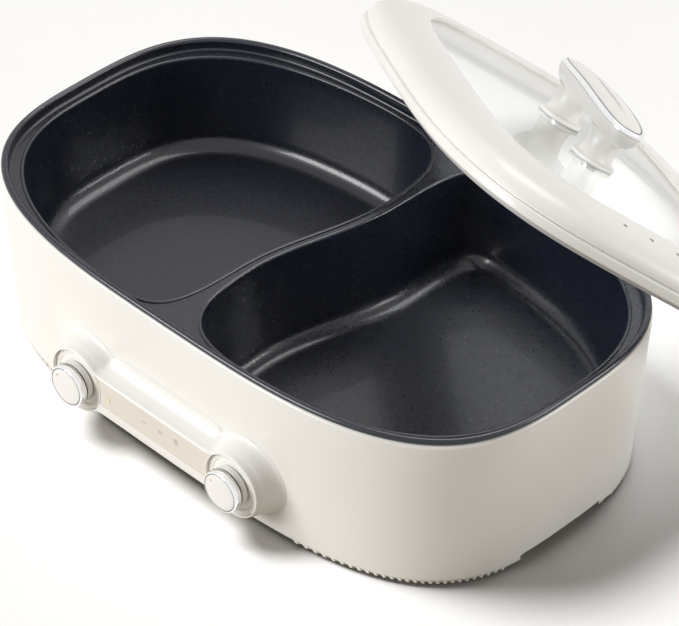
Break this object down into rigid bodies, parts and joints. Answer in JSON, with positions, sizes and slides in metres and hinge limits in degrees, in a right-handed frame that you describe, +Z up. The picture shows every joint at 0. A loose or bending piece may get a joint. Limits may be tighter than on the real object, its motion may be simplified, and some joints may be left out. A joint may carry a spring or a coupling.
{
  "type": "electric hot pot",
  "caption": "Oval electric hot pot with a cream tapered shell, a dark coated pot divided into wells by an S-shaped wall, front dials, and a loose domed glass lid that leans on the table.",
  "frame": {"origin": "on the table, under the middle of the body", "axes": "+X along the body to the right seen from the front, +Y to the back, +Z up; the controls face -Y"},
  "size_m": [0.4833, 0.4775, 0.235],
  "materials": {
    "shell_cream": "satin cream moulding",
    "cover_cream": "matt cream moulding",
    "foot_rubber": "matt",
    "screw_steel": "zinc plated",
    "pot_coating": "satin non-stick coating with a fine speckle",
    "seal_silicone": "grey silicone",
    "heater_aluminium": "cast",
    "element_steel": "heat-tinted tube",
    "shield_steel": "galvanised sheet",
    "thermostat_ceramic": "unglazed",
    "panel_beige": "satin",
    "lens_amber": "clear tinted",
    "dial_cream": "satin with printed ticks",
    "switch_black": "moulded",
    "inlet_black": "moulded",
    "pin_brass": "machined",
    "terminal_ivory": "glazed",
    "knob_white": "glossy",
    "chrome_trim": "polished",
    "lid_cream": "satin cream moulding",
    "lid_glass": "clear"
  },
  "bodies": {
    "base": {"outer_shell": "shell_cream", "bottom_cover": "cover_cream", "foot_pads": "foot_rubber", "cover_screws": "screw_steel", "inner_pot": "pot_coating", "rim_gasket": "seal_silicone", "heater_plate_left": "heater_aluminium", "heater_plate_right": "heater_aluminium", "heating_element_left": "element_steel", "heating_element_right": "element_steel", "heater_clamp_left": "shield_steel", "heater_clamp_right": "shield_steel", "heater_studs": "screw_steel", "heater_nuts": "screw_steel", "thermostat_left": "thermostat_ceramic", "thermostat_right": "thermostat_ceramic", "heat_shield": "shield_steel", "shield_screws": "screw_steel", "control_housing": "shell_cream", "control_plate": "shell_cream", "housing_screws": "screw_steel", "panel_insert": "panel_beige", "indicator_lens": "lens_amber", "dial_ring_left": "dial_cream", "dial_ring_right": "dial_cream", "rotary_switch_left": "switch_black", "rotary_switch_right": "switch_black", "switch_nuts": "screw_steel", "power_inlet": "inlet_black", "inlet_pins": "pin_brass", "terminal_block": "terminal_ivory"},
    "knob_left": {"knob_base_left": "knob_white", "knob_ring_left": "chrome_trim", "knob_cap_left": "knob_white", "switch_shaft_left": "screw_steel"},
    "knob_right": {"knob_base_right": "knob_white", "knob_ring_right": "chrome_trim", "knob_cap_right": "knob_white", "switch_shaft_right": "screw_steel"},
    "lid": {"lid_frame": "lid_cream", "lid_glass": "lid_glass", "lid_seal": "seal_silicone", "handle_gaskets": "seal_silicone", "handle_bridge": "lid_cream", "handle_trim": "chrome_trim", "handle_pad": "lid_cream", "handle_bolts": "screw_steel", "handle_washers": "screw_steel"}
  },
  "joints": [
    {"name": "knob_left_turn", "type": "hinge", "parent": "base", "child": "knob_left", "pos_m": [-0.0695, -0.146, 0.042], "axis": [0, 1, 0], "range_deg": [0, 270]},
    {"name": "knob_right_turn", "type": "hinge", "parent": "base", "child": "knob_right", "pos_m": [0.0695, -0.146, 0.042], "axis": [0, 1, 0], "range_deg": [0, 270]},
    {"name": "lid_lift", "type": "slide", "parent": "base", "child": "lid", "axis": [0, 0, 1], "range_m": [0, 0.25]}
  ]
}
